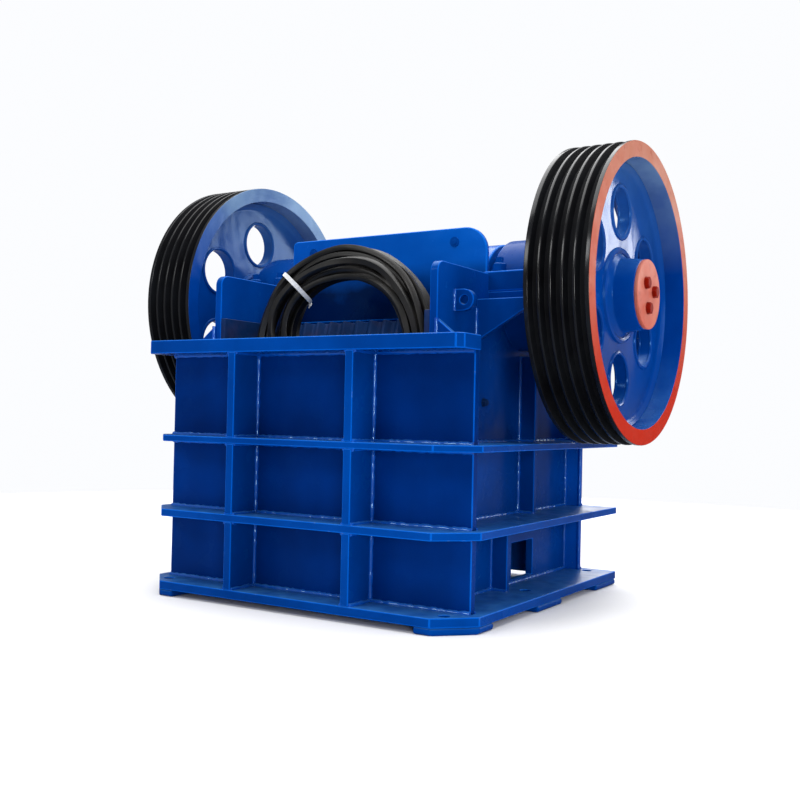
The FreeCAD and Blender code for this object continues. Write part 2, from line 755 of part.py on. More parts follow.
def tension_gear():
    """The rod that holds the jaw back against its toggle, and the spring behind the frame."""
    rod = drum("rod_body", "y", "rod_front_place", f"{REAR_FACE} + spring_length + rod_tail", ("0", "rod_level"),
               "rod_diameter")
    nut = drum("rod_nut", "y", f"{REAR_FACE} + spring_length", f"{REAR_FACE} + spring_length + rod_tail / 2",
               ("0", "rod_level"), "spring_diameter")
    keep(join("tension_rod", rod, nut), "tension_rod")
    coil = drum("spring_blank", "y", REAR_FACE, f"{REAR_FACE} + spring_length", ("0", "rod_level"),
                "spring_diameter")
    hollow = drum("spring_hollow", "y", REAR_FACE, f"{REAR_FACE} + spring_length", ("0", "rod_level"),
                  "rod_diameter + 4 * fit_gap")
    keep(cut("tension_spring", coil, hollow), "tension_spring")


def belt_coil():
    """A bundle of spare belts stood on edge in the feed opening, against the fixed die."""
    item = doc.addObject("Part::Torus", "belt_coil")
    item.Placement = FreeCAD.Placement(FreeCAD.Vector(), TURNS["y"])
    item.setExpression("Radius1", cell("(coil_diameter - coil_bundle) / 2"))
    item.setExpression("Radius2", cell("coil_bundle / 2"))
    bind(item, x="coil_place", y=f"{WALL_BACK} + fixed_die_plate + lay_gap + coil_bundle / 2", z="coil_level")
    keep(item, "belt_coil")


def check_and_write():
    """Stop on any failed object, then write one file for each piece."""
    doc.recompute()
    for item in doc.Objects:
        if "Invalid" in item.State or "Error" in item.State:
            raise RuntimeError(f"{item.Name} failed: {item.State}")
    os.makedirs("parts", exist_ok=True)
    for piece in PIECES:
        shape = piece.Shape
        if shape.isNull() or not shape.isValid() or shape.Volume <= 0:
            raise RuntimeError(f"{piece.Label} has no sound shape")
        shape.exportStep(f"parts/{piece.Label}.step")
        print(f"{piece.Label:22s} {shape.Volume / 1e6:9.2f} litres")


walls()
front_ribs()
shelves()
base()
side_plates()
side_ribs()
cheek_details()
bearing_housings()
shaft()
wheels()
swing_jaw()
head_guard()
dies()
toggle()
tension_gear()
belt_coil()
check_and_write()
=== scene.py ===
"""Looks of a single-toggle jaw crusher: paint, rounded edges, welds, bolts, dies and a coil of spare belts."""

import json
import logging
from dataclasses import astuple, dataclass
from enum import Enum
from math import cos, exp, hypot, pi, radians, sin, tau
from typing import Any, Callable, Dict, Iterable, List, Optional, Sequence, Tuple

import bmesh
import bpy
from mathutils import Matrix, Vector, noise

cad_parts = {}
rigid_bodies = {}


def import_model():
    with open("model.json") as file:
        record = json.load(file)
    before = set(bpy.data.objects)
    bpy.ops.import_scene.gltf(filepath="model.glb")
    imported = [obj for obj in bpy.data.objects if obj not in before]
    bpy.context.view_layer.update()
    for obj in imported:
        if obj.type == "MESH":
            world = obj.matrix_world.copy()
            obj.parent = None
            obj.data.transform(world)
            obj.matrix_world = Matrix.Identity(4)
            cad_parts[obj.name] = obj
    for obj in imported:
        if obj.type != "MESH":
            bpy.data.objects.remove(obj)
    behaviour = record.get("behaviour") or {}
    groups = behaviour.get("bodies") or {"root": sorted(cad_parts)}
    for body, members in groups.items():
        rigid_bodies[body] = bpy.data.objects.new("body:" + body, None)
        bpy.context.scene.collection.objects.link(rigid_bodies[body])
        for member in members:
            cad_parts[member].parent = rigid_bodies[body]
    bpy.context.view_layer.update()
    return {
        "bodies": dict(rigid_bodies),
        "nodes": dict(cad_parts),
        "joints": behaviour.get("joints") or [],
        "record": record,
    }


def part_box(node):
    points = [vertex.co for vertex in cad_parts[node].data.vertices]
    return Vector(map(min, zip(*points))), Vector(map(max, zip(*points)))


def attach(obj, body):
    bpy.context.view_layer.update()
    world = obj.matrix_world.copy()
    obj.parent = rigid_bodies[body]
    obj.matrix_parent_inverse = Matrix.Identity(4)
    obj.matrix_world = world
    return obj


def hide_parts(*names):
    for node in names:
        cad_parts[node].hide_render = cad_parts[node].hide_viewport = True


LOG = logging.getLogger("crusher")
Pair = Tuple[float, float]
Colour = Tuple[float, float, float]
Point = Tuple[float, float, float]
Seat = Tuple[Point, Point]
Station = Tuple[Vector, Vector, Vector]
Form = bmesh.types.BMesh
Item = bpy.types.Object
Material = bpy.types.Material
Socket = bpy.types.NodeSocket


class Side(Enum):
    """The machine's two sides, with the sign of X on each."""

    LEFT = -1
    RIGHT = 1

    @property
    def label(self) -> str:
        """The word used in node names."""
        return self.name.lower()


def tone(red: int, green: int, blue: int) -> Colour:
    """A linear colour from display values of 0 to 255."""
    return tuple(((part / 255 + 0.055) / 1.055) ** 2.4 if part > 10 else part / 3294 for part in (red, green, blue))


# ---- node trees


class NodeSheet:
    """A node tree, with a short way to add and join a node."""

    def __init__(self, tree: bpy.types.NodeTree) -> None:
        """Keep the tree that nodes go into."""
        self.tree = tree

    def add(self, kind: str, feeds: Optional[Dict[Any, Any]] = None, out: Any = 0, **settings: Any) -> Socket:
        """Add a node.

        Args:
            kind: the node's type name.
            feeds: what goes into each input: a socket, a list of sockets or a value.
            out: name or number of the wanted output.
            settings: the node's own properties.

        Returns:
            The wanted output.
        """
        node = self.tree.nodes.new(kind)
        for name, value in settings.items():
            setattr(node, name, value)
        for name, value in (feeds or {}).items():
            if isinstance(value, (Socket, list)):
                for source in value if isinstance(value, list) else [value]:
                    self.tree.links.new(source, node.inputs[name])
            else:
                node.inputs[name].default_value = value
        return node.outputs[out]

    def sum(self, operation: str, first: Any, second: Any) -> Socket:
        """The result of a Math node on two sockets or numbers."""
        return self.add("ShaderNodeMath", {0: first, 1: second}, operation=operation)


class Surface(NodeSheet):
    """A material being built, with patterns on object coordinates."""

    def __init__(self, name: str, **sockets: Any) -> None:
        """Start a material.

        Args:
            name: the material's name.
            sockets: the shader's fixed values, with underscores for spaces.
        """
        self.material = bpy.data.materials.new(name)
        self.material.use_nodes = True
        super().__init__(self.material.node_tree)
        self.shader = self.tree.nodes["Principled BSDF"]
        for key, value in sockets.items():
            self.shader.inputs[key.replace("_", " ")].default_value = value
        self.place = self.add("ShaderNodeTexCoord", out="Object")

    def stretched(self, scale: Point) -> Socket:
        """Object coordinates, scaled by axis."""
        return self.add("ShaderNodeMapping", {"Vector": self.place, "Scale": scale})

    def speckle(self, scale: float, detail: float, vector: Any = None) -> Socket:
        """A noise pattern's value."""
        feeds = {"Vector": vector or self.place, "Scale": scale, "Detail": detail, "Roughness": 0.55}
        return self.add("ShaderNodeTexNoise", feeds)

    def span(self, value: Any, low: float, high: float, start: float, end: float) -> Socket:
        """A value remapped from low..high to start..end, and held."""
        return self.add("ShaderNodeMapRange", {0: value, 1: low, 2: high, 3: start, 4: end})

    def patch(self, scale: float, detail: float, start: float, end: float, low: float = 0.3,
              high: float = 0.7) -> Socket:
        """A noise pattern remapped from low..high to start..end."""
        return self.span(self.speckle(scale, detail), low, high, start, end)

    def height(self) -> Socket:
        """The height above the ground, in metres."""
        return self.add("ShaderNodeSeparateXYZ", {0: self.place}, 2)

    def blend(self, factor: Any, *colours: Any) -> Socket:
        """Two colours mixed by a factor."""
        first, second = (part if isinstance(part, Socket) else (*part, 1.0) for part in colours)
        return self.add("ShaderNodeMix", {0: factor, 6: first, 7: second}, 2, data_type="RGBA")

    def relief(self, height: Any, distance: float, strength: float = 1.0, under: Any = None) -> Socket:
        """A bump from a height, over another bump if given."""
        feeds = {"Height": height, "Distance": distance, "Strength": strength, **({"Normal": under} if under else {})}
        return self.add("ShaderNodeBump", feeds)

    def facing_up(self) -> Socket:
        """How far the surface faces up, from -1 to 1."""
        return self.add("ShaderNodeSeparateXYZ", {0: self.add("ShaderNodeNewGeometry", out="Normal")}, 2)

    def finish(self, colour: Any, roughness: Any = None, normal: Any = None) -> Material:
        """Join the patterns to the shader.

        Args:
            colour: the base colour.
            roughness: the roughness, if it varies.
            normal: the bump, if there is one.

        Returns:
            The finished material.
        """
        for name, value in (("Base Color", colour), ("Roughness", roughness), ("Normal", normal)):
            if value is not None:
                self.tree.links.new(value, self.shader.inputs[name])
        return self.material


# ---- finishes


class Finish:
    """A finish that builds its material once."""

    name: str

    def build(self) -> Material:
        """Make the material."""
        raise NotImplementedError

    @property
    def material(self) -> Material:
        """The material, built when first asked for."""
        return bpy.data.materials.get(self.name) or self.build()


@dataclass(frozen=True)
class Enamel(Finish):
    """Gloss enamel, with thin places, tops that are dusty and lighter as painted top light, painted shade or sheen by
    height, and small chips.
    """

    name: str
    deep: Colour
    bright: Colour
    dusty: Colour = (0.06, 0.26, 0.62)
    dust: float = 0.5
    chips: float = 0.0
    chip_tone: Colour = (0.12, 0.22, 0.4)
    gloss: Pair = (0.14, 0.32)
    waviness: float = 0.006
    film: float = 0.0
    film_levels: Pair = (1.0, 1.5)
    film_tone: Colour = (0.2, 0.28, 0.38)
    sheen: Colour = (0.03, 0.35, 0.9)
    shine: float = 0.06

    def build(self) -> Material:
        """Mix the patterns.

        Returns:
            The material.
        """
        sheet = Surface(self.name, IOR=1.5, Coat_Weight=0.02, Coat_Roughness=0.06,
                        Specular_IOR_Level=self.shine, Specular_Tint=(*self.sheen, 1.0))
        colour = sheet.blend(sheet.patch(1.9, 4.0, 0.0, 1.0), self.deep, self.bright)
        runs = sheet.speckle(5.0, 3.0, sheet.stretched((2.4, 2.4, 0.35)))
        colour = sheet.blend(sheet.span(runs, 0.45, 0.75, 0.0, 0.28), colour, self.deep)
        grit = sheet.speckle(17.0, 5.0)
        # Upward faces turn towards a lighter blue: partly dust, partly painted light on the tops; the same mask
        # roughens them.
        up = sheet.span(sheet.facing_up(), 0.35, 1.0, 0.0, self.dust)
        colour = sheet.blend(sheet.sum("MULTIPLY", up, sheet.span(grit, 0.25, 0.7, 0.25, 1.0)), colour, self.dusty)
        # Painted light by height: a tone blended in between two levels, as painted shade low on the guard and as a
        # painted sheen high on the wheels.
        if self.film:
            painted_light_patches = sheet.patch(3.2, 5.0, 0.35, 1.0, 0.3, 0.72)
            level = sheet.span(sheet.height(), *self.film_levels, 0.0, self.film)
            colour = sheet.blend(sheet.sum("MULTIPLY", level, painted_light_patches), colour, self.film_tone)
        if self.chips:
            flecks = sheet.patch(70.0, 4.0, 0.0, self.chips, 0.66, 0.72)
            colour = sheet.blend(flecks, colour, self.chip_tone)
        rough = sheet.sum("ADD", sheet.patch(8.0, 4.0, *self.gloss), sheet.sum("MULTIPLY", up, 0.3))
        waves = sheet.relief(sheet.speckle(6.0, 2.0), self.waviness)
        peel = sheet.relief(sheet.speckle(260.0, 2.0), 0.00022, 0.6, waves)
        return sheet.finish(colour, rough, peel)


@dataclass(frozen=True)
class RimBlack(Finish):
    """Black paint on turned steel: fine turning marks and a soft shine."""

    name: str = "rim_black"
    shine: float = 0.3
    gloss: Pair = (0.12, 0.26)

    def build(self) -> Material:
        """Mix the patterns.

        Returns:
            The material.
        """
        sheet = Surface(self.name, Specular_IOR_Level=self.shine)
        turned = sheet.speckle(1.0, 3.0, sheet.stretched((900.0, 9.0, 9.0)))
        colour = sheet.blend(sheet.patch(6.0, 4.0, 0.0, 1.0, 0.35), (0.002, 0.002, 0.003), (0.006, 0.007, 0.009))
        return sheet.finish(colour, sheet.patch(11.0, 4.0, *self.gloss), sheet.relief(turned, 0.0003, 0.5))


@dataclass(frozen=True)
class Primer(Finish):
    """Red primer on a machined face, paler towards its top as painted light."""

    name: str
    low: Colour
    high: Colour
    fade: Pair = (0.75, 1.55)

    def build(self) -> Material:
        """Mix the patterns.

        Returns:
            The material.
        """
        sheet = Surface(self.name, Specular_IOR_Level=0.08, Specular_Tint=(1.0, 0.5, 0.35, 1.0))
        # Paler high up, redder low down: painted top light.
        uneven = sheet.sum("ADD", sheet.height(), sheet.patch(5.0, 4.0, -0.16, 0.16))
        colour = sheet.blend(sheet.span(uneven, *self.fade, 0.0, 1.0), self.low, self.high)
        scuffs = sheet.patch(24.0, 5.0, 0.0, 0.5, 0.58, 0.72)
        colour = sheet.blend(scuffs, colour, tuple(0.55 * part for part in self.low))
        rings = sheet.speckle(3.0, 2.0, sheet.stretched((1.0, 40.0, 40.0)))
        return sheet.finish(colour, sheet.patch(14.0, 3.0, 0.32, 0.5), sheet.relief(rings, 0.0004, 0.5))


@dataclass(frozen=True)
class BareSteel(Finish):
    """Bare or cast steel: patchy, with some rust and grain."""

    name: str
    dark: Colour
    light: Colour
    rust: float = 0.2
    metal: float = 0.85
    gloss: Pair = (0.3, 0.5)
    grain: float = 120.0
    depth: float = 0.0006
    shine: float = 0.5

    def build(self) -> Material:
        """Mix the patterns.

        Returns:
            The material.
        """
        sheet = Surface(self.name, Metallic=self.metal, Specular_IOR_Level=self.shine)
        colour = sheet.blend(sheet.patch(7.0, 5.0, 0.0, 1.0), self.dark, self.light)
        bloom = sheet.patch(13.0, 6.0, 0.0, self.rust, 0.5, 0.68)
        colour = sheet.blend(bloom, colour, (0.16, 0.055, 0.02))
        rough = sheet.sum("ADD", sheet.patch(20.0, 3.0, *self.gloss), bloom)
        return sheet.finish(colour, rough, sheet.relief(sheet.speckle(self.grain, 4.0), self.depth, 0.7))


@dataclass(frozen=True)
class BeltRubber(Finish):
    """Cloth-covered black rubber, powdery in places."""

    name: str = "belt_rubber_cover"

    def build(self) -> Material:
        """Mix the patterns.

        Returns:
            The material.
        """
        sheet = Surface(self.name, Specular_IOR_Level=0.35)
        powder = sheet.patch(9.0, 5.0, 0.0, 0.45, 0.45, 0.75)
        colour = sheet.blend(powder, (0.003, 0.003, 0.003), (0.02, 0.016, 0.013))
        cloth = sheet.relief(sheet.speckle(600.0, 2.0), 0.0004, 0.6)
        return sheet.finish(colour, sheet.patch(15.0, 3.0, 0.34, 0.55), cloth)


@dataclass(frozen=True)
class TieCloth(Finish):
    """White woven tape, slightly soiled."""

    name: str = "tie_cloth"

    def build(self) -> Material:
        """Mix the patterns.

        Returns:
            The material.
        """
        sheet = Surface(self.name, Roughness=0.8, Sheen_Weight=0.3)
        soil = sheet.patch(40.0, 4.0, 0.0, 0.35, 0.4, 0.75)
        colour = sheet.blend(soil, (0.82, 0.83, 0.84), (0.45, 0.45, 0.44))
        weave = sheet.add("ShaderNodeTexWave", {"Vector": sheet.place, "Scale": 260.0, "Distortion": 1.5}, 1)
        return sheet.finish(colour, None, sheet.relief(weave, 0.0005, 0.8))


@dataclass(frozen=True)
class PaleFloor(Finish):
    """Smooth pale screed, dimmer in the paint's reflections."""

    name: str = "pale_floor"

    def build(self) -> Material:
        """Mix the patterns.

        Returns:
            The material.
        """
        sheet = Surface(self.name, Roughness=0.85)
        colour = sheet.blend(sheet.speckle(0.8, 4.0), (0.86, 0.86, 0.865), (0.9, 0.9, 0.9))
        mirrored = sheet.add("ShaderNodeLightPath", out="Is Glossy Ray")
        colour = sheet.blend(mirrored, colour, (0.14, 0.16, 0.2))
        return sheet.finish(colour, None, sheet.relief(sheet.speckle(30.0, 4.0), 0.001, 0.2))


BLUE = Enamel("frame_blue", tone(0, 46, 116), tone(0, 64, 150))
# A darker copy of the frame blue for the front wall's bays: painted shade in the recesses.
PANEL_BLUE_PAINTED_SHADE = Enamel("panel_blue", tone(0, 32, 92), tone(0, 48, 126))
# Lighter blue on the rounded edges: a painted highlight along them, with chips of wear.
BLUE_EDGE_HIGHLIGHT = Enamel("frame_blue_edges", tone(0, 72, 168), tone(4, 88, 190), chips=0.35)
HEAD_BLUE = Enamel("head_blue", tone(0, 62, 150), tone(0, 82, 180), dust=0.16, shine=0.3)
# The guard turns deep navy below its lower level: painted shade under the belt coil and in the opening.
GUARD_BLUE = Enamel("guard_blue", tone(0, 66, 158), tone(0, 86, 188), dust=0.16, film=1.5, film_levels=(1.2, 1.1),
                    film_tone=tone(0, 20, 64), shine=0.3)
CAP_BLUE = Enamel("bearing_blue", tone(0, 40, 104), tone(0, 58, 136), dust=0.05, gloss=(0.2, 0.36))
# Lighter blue on the head's rounded edges: a painted highlight, with chips of wear.
HEAD_EDGE_HIGHLIGHT = Enamel("head_blue_edges", tone(2, 90, 192), tone(12, 104, 206), chips=0.3)
# The wheel web turns pale blue-grey high up: a painted sheen.
WEB_BLUE = Enamel("wheel_blue", tone(0, 50, 126), tone(0, 68, 156), dust=0.3, film=0.5, film_levels=(1.15, 1.6),
                  film_tone=(0.08, 0.22, 0.38), gloss=(0.14, 0.24), sheen=(0.2, 0.55, 1.0), shine=0.26)
# The rim's blue side turns pale grey high up: a painted sheen.
RIM_BLUE = Enamel("rim_blue", tone(0, 48, 122), tone(0, 66, 154), dust=0.3, film=1.0, film_levels=(1.2, 1.55),
                  film_tone=(0.2, 0.32, 0.45), gloss=(0.14, 0.24), shine=0.26)
WELD_BLUE = Enamel("weld_blue", tone(0, 58, 148), tone(4, 84, 190), gloss=(0.08, 0.2), waviness=0.0008,
                   sheen=(0.5, 0.8, 1.0), shine=0.9)
PAINTED = (BLUE, BLUE_EDGE_HIGHLIGHT)
BLACK = RimBlack()
GROOVE_BLACK = RimBlack("groove_black", 0.08, (0.5, 0.7))
# All three primers are paler higher up: painted top light.
PRIMER = Primer("rim_primer", tone(172, 30, 0), tone(172, 106, 84), fade=(0.7, 1.5))
HUB_PRIMER = Primer("hub_primer", tone(184, 92, 76), tone(192, 118, 102), fade=(0.95, 1.2))
RED_BOLT = Primer("cover_bolt_red", tone(110, 16, 6), tone(140, 26, 12), fade=(0.95, 1.2))
# Dull dark navy paint on the dies, liners and liner nuts, darkened further for the shade inside the opening: partly
# painted shade.
DIE_NAVY_AND_SHADE = BareSteel("die_steel", (0.002, 0.014, 0.06), (0.004, 0.03, 0.12), rust=0.06, metal=0.0,
                      gloss=(0.42, 0.6), grain=60.0, depth=0.0016, shine=0.12)
TURNED_STEEL = BareSteel("turned_steel", (0.32, 0.32, 0.33), (0.48, 0.48, 0.49), rust=0.12)
SPRING_STEEL = BareSteel("spring_steel_black", (0.02, 0.02, 0.022), (0.06, 0.06, 0.065), rust=0.2, metal=0.6)
BOLT_STEEL = BareSteel("bolt_steel", (0.06, 0.06, 0.065), (0.16, 0.16, 0.165), rust=0.25)
RUBBER = BeltRubber()
CLOTH = TieCloth()


# ---- making pieces


def rework(item: Item, kind: str, values: Optional[Dict[str, Any]] = None, **settings: Any) -> None:
    """Replace an object's mesh by what a modifier makes of it.

    Args:
        item: the object.
        kind: the modifier's type.
        values: its tree's inputs by name.
        settings: its properties.
    """
    modifier = item.modifiers.new("work", kind)
    for name, value in settings.items():
        setattr(modifier, name, value)
    if values:
        entries = modifier.node_group.interface.items_tree
        sockets = {entry.name: entry.identifier for entry in entries if entry.in_out == "INPUT"}
        for name, value in values.items():
            modifier[sockets[name]] = value
    graph = bpy.context.evaluated_depsgraph_get()
    made = bpy.data.meshes.new_from_object(item.evaluated_get(graph), preserve_all_data_layers=True, depsgraph=graph)
    item.modifiers.clear()
    item.data = made


def piece(name: str, mesh: bpy.types.Mesh, coats: Sequence[Finish]) -> Item:
    """An object at the origin with its finishes.

    Args:
        name: the object's name.
        mesh: its mesh, in place.
        coats: the finishes, in the faces' order.

    Returns:
        The linked object.
    """
    item = bpy.data.objects.new(name, mesh)
    bpy.context.scene.collection.objects.link(item)
    for coat in coats:
        mesh.materials.append(coat.material)
    return item


def smooth(mesh: bpy.types.Mesh, angle: float = 38.0) -> None:
    """Shade a mesh smooth, except at edges sharper than an angle in degrees."""
    mesh.polygons.foreach_set("use_smooth", [True] * len(mesh.polygons))
    mesh.set_sharp_from_angle(angle=radians(angle))


def round_bar(radius: float, sides: int) -> List[Pair]:
    """The outline of a round bar."""
    return [(radius * cos(tau * k / sides), radius * sin(tau * k / sides)) for k in range(sides)]


def sweep(form: Form, stations: Sequence[Station], section: Sequence[Pair], closed: bool) -> None:
    """Draw a section along a path.

    Args:
        form: where the faces go.
        stations: the path's points, each with the section's two directions.
        section: the section's outline.
        closed: joins the path up with its start; if not, its ends are capped.
    """
    rings = [[form.verts.new(spot + across * u + up * v) for u, v in section] for spot, across, up in stations]
    count = len(section)
    pairs = list(zip(rings, rings[1:])) + ([(rings[-1], rings[0])] if closed else [])
    for first, second in pairs:
        for index in range(count):
            after = (index + 1) % count
            form.faces.new((first[index], first[after], second[after], second[index]))
    if not closed:
        form.faces.new(list(reversed(rings[0])))
        form.faces.new(rings[-1])


class Workshop:
    """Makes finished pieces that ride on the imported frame's bodies."""

    count = 0
    merge = 2e-5
    flat = radians(0.4)
    corner = radians(34)

    def __init__(self, frame: Dict[str, Any]) -> None:
        """Keep the nodes and their material slots."""
        self.nodes = frame["nodes"]
        self.slots = {part["node"]: part["material_slot"] for part in frame["record"]["subparts"]}

    def mount(self, item: Item, body: str, slot: str, *nodes: str) -> None:
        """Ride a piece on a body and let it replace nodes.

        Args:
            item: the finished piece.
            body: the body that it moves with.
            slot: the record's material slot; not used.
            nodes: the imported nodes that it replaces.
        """
        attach(item, body)
        if nodes:
            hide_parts(*nodes)
        self.count += 1
        LOG.info("%-28s on %-7s %6d faces", item.name, body, len(item.data.polygons))

    def soften(self, node: str, coats: Sequence[Finish], edge: float = 0.003, body: str = "frame",
               choose: Optional[Callable[[Vector, Vector], int]] = None,
               extra: Optional[Callable[[Form], None]] = None) -> None:
        """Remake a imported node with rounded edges.

        Args:
            node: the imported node.
            coats: its finishes; one named for edges goes on the rounded ones.
            edge: the edges' radius, in metres.
            body: the body that it moves with.
            choose: picks a finish by a face's centre and normal.
            extra: adds more shapes.
        """
        form = bmesh.new()
        form.from_mesh(self.nodes[node].data)
        bmesh.ops.remove_doubles(form, verts=form.verts, dist=self.merge)
        bmesh.ops.dissolve_limit(form, angle_limit=self.flat, verts=form.verts, edges=form.edges)
        for face in form.faces:
            face.material_index = choose(face.calc_center_median(), face.normal) if choose else 0
        mesh = bpy.data.meshes.new(f"{node}_finished")
        form.to_mesh(mesh)
        form.free()
        item = piece(f"{node}_finished", mesh, coats)
        # The coat named for edges is lighter: a painted highlight on the rounded edges, with chips of wear.
        edge_wear_and_highlight = next((index for index, coat in enumerate(coats) if "edges" in coat.name), -1)
        rework(item, "BEVEL", width=edge, segments=2, limit_method="ANGLE", angle_limit=self.corner,
               use_clamp_overlap=False, material=edge_wear_and_highlight)
        if extra:
            form = bmesh.new()
            form.from_mesh(item.data)
            extra(form)
            form.to_mesh(item.data)
            form.free()
        smooth(item.data)
        rework(item, "WEIGHTED_NORMAL", keep_sharp=True, weight=90)
        self.mount(item, body, self.slots[node], node)

    def wind(self, name: str, form: Form, angle: float, finish: Finish, slot: str, *nodes: str) -> None:
        """Clean a swept form and mount it on the frame.

        Args:
            name: the piece's name.
            form: the form.
            angle: the sharpest smooth edge, in degrees.
            finish: its finish.
            slot: the record's material slot.
            nodes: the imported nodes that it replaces.
        """
        bmesh.ops.remove_doubles(form, verts=form.verts, dist=1e-6)
        bmesh.ops.recalc_face_normals(form, faces=form.faces)
        mesh = bpy.data.meshes.new(name)
        form.to_mesh(mesh)
        form.free()
        smooth(mesh, angle)
        self.mount(piece(name, mesh, [finish]), "frame", slot, *nodes)

    def coat(self, node: str, finish: Finish) -> None:
        """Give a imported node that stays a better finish."""
        self.nodes[node].data.materials.clear()
        self.nodes[node].data.materials.append(finish.material)


# ---- repeated work


class Tree(NodeSheet):
    """A geometry node tree with named inputs."""

    def __init__(self, name: str, *sizes: str) -> None:
        """Start a tree with inputs for a mesh, sizes, a seed and a material.

        Args:
            name: the tree's name.
            sizes: the sizes' names.
        """
        tree = bpy.data.node_groups.new(name, "GeometryNodeTree")
        kinds = {"Geometry": "Geometry", **dict.fromkeys(sizes, "Float"), "Seed": "Int", "Material": "Material"}
        for label, kind in kinds.items():
            tree.interface.new_socket(label, in_out="INPUT", socket_type=f"NodeSocket{kind}")
        tree.interface.new_socket("Geometry", in_out="OUTPUT", socket_type="NodeSocketGeometry")
        super().__init__(tree)
        self.given = tree.nodes.new("NodeGroupInput").outputs

    def close(self, result: Socket) -> bpy.types.GeometryNodeTree:
        """End the tree: real geometry with its material.

        Args:
            result: the geometry.

        Returns:
            The tree.
        """
        real = self.add("GeometryNodeRealizeInstances", {0: result})
        dressed = self.add("GeometryNodeSetMaterial", {"Geometry": real, "Material": self.given["Material"]})
        self.tree.links.new(dressed, self.tree.nodes.new("NodeGroupOutput").inputs[0])
        return self.tree


def weld_tree() -> bpy.types.GeometryNodeTree:
    """Lays a rippled bead along each edge of a wire mesh.

    Returns:
        The tree.
    """
    sheet = Tree("weld_bead", "Bead Radius", "Ripple Pitch", "Ripple Depth")
    given = sheet.given
    lines = sheet.add("GeometryNodeMeshToCurve", {0: given["Geometry"]})
    steps = sheet.add("GeometryNodeResampleCurve", {"Curve": lines, "Length": given["Ripple Pitch"]}, mode="LENGTH")
    low = sheet.sum("SUBTRACT", 1.0, given["Ripple Depth"])
    high = sheet.sum("ADD", 1.0, given["Ripple Depth"])
    swell = sheet.add("FunctionNodeRandomValue", {2: low, 3: high, "Seed": given["Seed"]}, 1, data_type="FLOAT")
    sized = sheet.add("GeometryNodeSetCurveRadius", {"Curve": steps, "Radius": swell})
    profile = sheet.add("GeometryNodeCurvePrimitiveCircle", {"Resolution": 8, "Radius": given["Bead Radius"]})
    bead = sheet.add("GeometryNodeCurveToMesh", {
        "Curve": sized, "Profile Curve": profile, "Fill Caps": True, "Scale": sheet.add("GeometryNodeInputRadius")})
    return sheet.close(sheet.add("GeometryNodeSetShadeSmooth", {0: bead}))


BOLT_SIZES = ("Across Flats", "Head Height", "Washer Diameter", "Washer Thickness", "Stud Diameter", "Stud Reach")


def fastener_tree() -> bpy.types.GeometryNodeTree:
    """Sets a washer, a hexagon and a stud end on each point.

    Returns:
        The tree.
    """
    sheet = Tree("hex_fastener", *BOLT_SIZES)
    given = sheet.given

    def lifted(mesh: Socket, level: Any) -> Socket:
        """A mesh moved up to a level."""
        lift = sheet.add("ShaderNodeCombineXYZ", {2: level})
        return sheet.add("GeometryNodeTransform", {"Geometry": mesh, "Translation": lift})

    def drum(sides: int, radius: Any, start: Any, height: Any) -> Socket:
        """A cylinder from a level up."""
        mesh = sheet.add("GeometryNodeMeshCylinder", {"Vertices": sides, "Radius": radius, "Depth": height})
        return lifted(mesh, sheet.sum("ADD", start, sheet.sum("MULTIPLY", height, 0.5)))

    washer = given["Washer Thickness"]
    across = sheet.sum("MULTIPLY", given["Across Flats"], 0.5)
    plate = drum(20, sheet.sum("MULTIPLY", given["Washer Diameter"], 0.5), 0.0, washer)
    body = sheet.sum("MULTIPLY", given["Head Height"], 0.86)
    hexagon = drum(6, sheet.sum("DIVIDE", across, 0.866), washer, body)
    cap = sheet.add("GeometryNodeMeshCone", {
        "Vertices": 18, "Radius Top": sheet.sum("MULTIPLY", across, 0.84), "Radius Bottom": across,
        "Depth": sheet.sum("MULTIPLY", given["Head Height"], 0.14)})
    crown = lifted(cap, sheet.sum("ADD", washer, body))
    stud = drum(12, sheet.sum("MULTIPLY", given["Stud Diameter"], 0.5), washer, given["Stud Reach"])
    whole = sheet.add("GeometryNodeJoinGeometry", {0: [plate, hexagon, crown, stud]})
    facing = sheet.add("GeometryNodeInputNamedAttribute", {"Name": "facing"}, data_type="FLOAT_VECTOR")
    aim = sheet.add("FunctionNodeAlignRotationToVector", {"Vector": facing}, axis="Z")
    turn = sheet.add("FunctionNodeRandomValue", {2: 0.0, 3: tau, "Seed": given["Seed"]}, 1, data_type="FLOAT")
    spin = sheet.add("FunctionNodeAxisAngleToRotation", {"Axis": (0.0, 0.0, 1.0), "Angle": turn})
    way = sheet.add("FunctionNodeRotateRotation", {0: aim, 1: spin}, rotation_space="LOCAL")
    return sheet.close(sheet.add("GeometryNodeInstanceOnPoints", {
        "Points": given["Geometry"], "Instance": whole, "Rotation": way}))


@dataclass(frozen=True)
class Fastener:
    """One kind of bolt or nut, in metres, in the order of BOLT_SIZES."""

    across_flats: float
    head: float
    washer: float
    washer_plate: float
    stud: float
    reach: float


def around(place: float, hub: Vector, circle: float, turns: Iterable[float], sign: int) -> List[Seat]:
    """Seats on a circle round the hub, at X = place, facing along X."""
    return [((place, hub.y + circle * cos(turn), hub.z + circle * sin(turn)), (sign, 0, 0)) for turn in turns]


